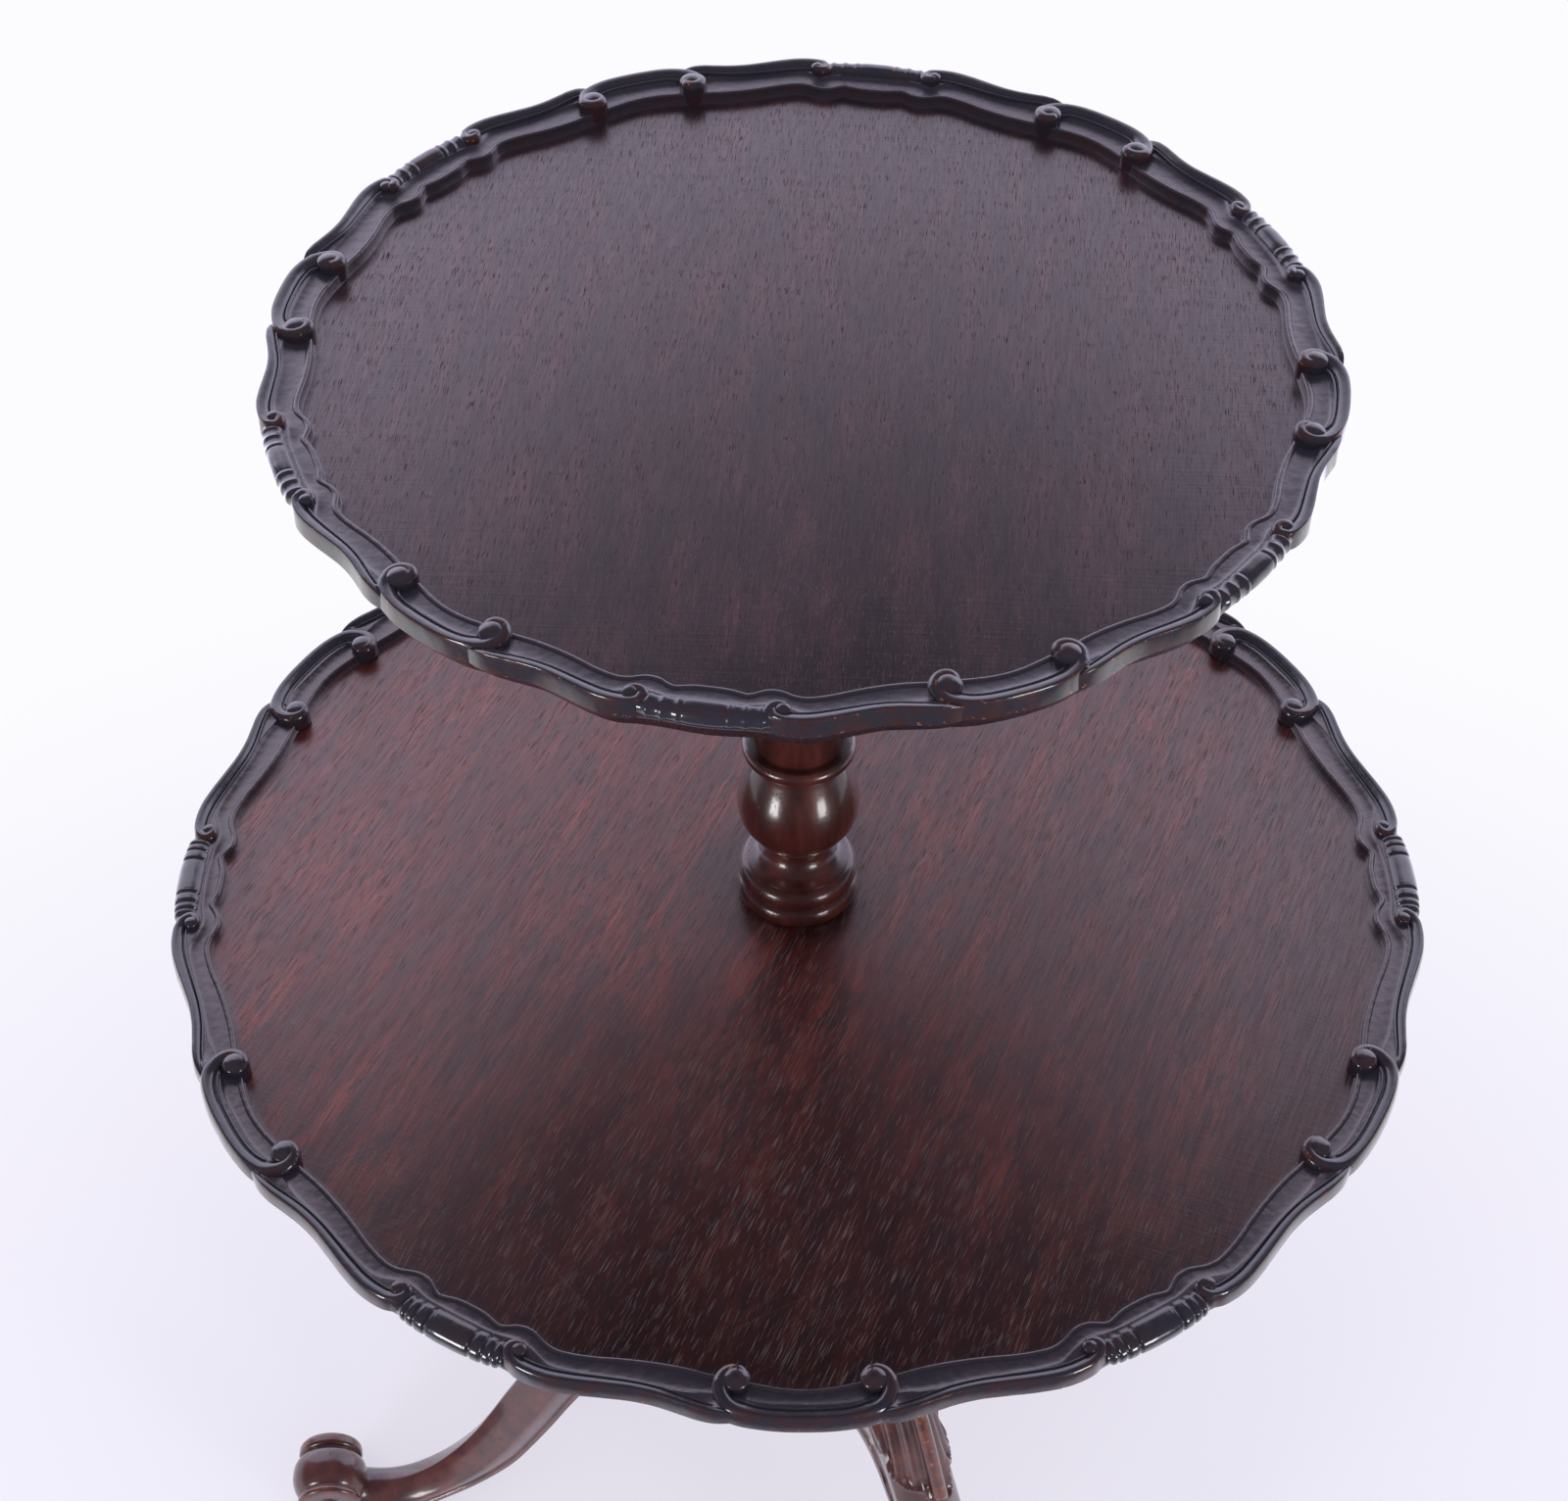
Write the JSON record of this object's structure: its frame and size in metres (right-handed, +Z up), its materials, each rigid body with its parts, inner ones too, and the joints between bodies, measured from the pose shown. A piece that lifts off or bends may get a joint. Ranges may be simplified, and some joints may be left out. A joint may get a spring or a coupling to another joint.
{
  "type": "two-tier revolving tripod side table",
  "caption": "Tripod side table with two round dished trays, carved piecrust rims, that revolve on a turned stem; cabriole legs with scroll toes.",
  "frame": {"origin": "on the floor, on the axis of the turned stem; the three toes' spread puts it within a few millimetres of the middle of the bounding box's base", "axes": "+Z is up, along the stem's axis; -Y faces the viewer; +X is to the viewer's right"},
  "size_m": [0.6039, 0.597, 0.877],
  "materials": {
    "polished_mahogany": "french polished red-brown mahogany, glossy",
    "lower_tray_mahogany": "waxed red-brown mahogany with near-black moulded rim",
    "upper_tray_mahogany": "waxed dark purple-brown mahogany with near-black moulded rim",
    "bearer_wood": "plain stained hardwood, dull",
    "black_iron": "blacked wrought iron, rough",
    "steel_screw": "dull steel",
    "brass_washer": "worn brass"
  },
  "bodies": {
    "stand": {"lower_pillar": "polished_mahogany", "leg_left": "polished_mahogany", "leg_front": "polished_mahogany", "leg_back": "polished_mahogany", "spider_plate": "black_iron", "spider_screws": "steel_screw", "lower_washer": "brass_washer", "upper_pillar": "polished_mahogany", "upper_washer": "brass_washer", "keeper_washer": "brass_washer", "keeper_screw": "steel_screw"},
    "lower_tier": {"lower_tray": "lower_tray_mahogany", "lower_bearer": "bearer_wood", "lower_bearer_screws": "steel_screw"},
    "upper_tier": {"upper_tray": "upper_tray_mahogany", "upper_bearer": "bearer_wood", "upper_bearer_screws": "steel_screw"}
  },
  "joints": [
    {"name": "lower_tier_turn", "type": "hinge", "parent": "stand", "child": "lower_tier", "pos_m": [0, 0, 0.546], "axis": [0, 0, 1], "continuous": true},
    {"name": "upper_tier_turn", "type": "hinge", "parent": "stand", "child": "upper_tier", "pos_m": [0, 0, 0.859], "axis": [0, 0, 1], "continuous": true}
  ]
}
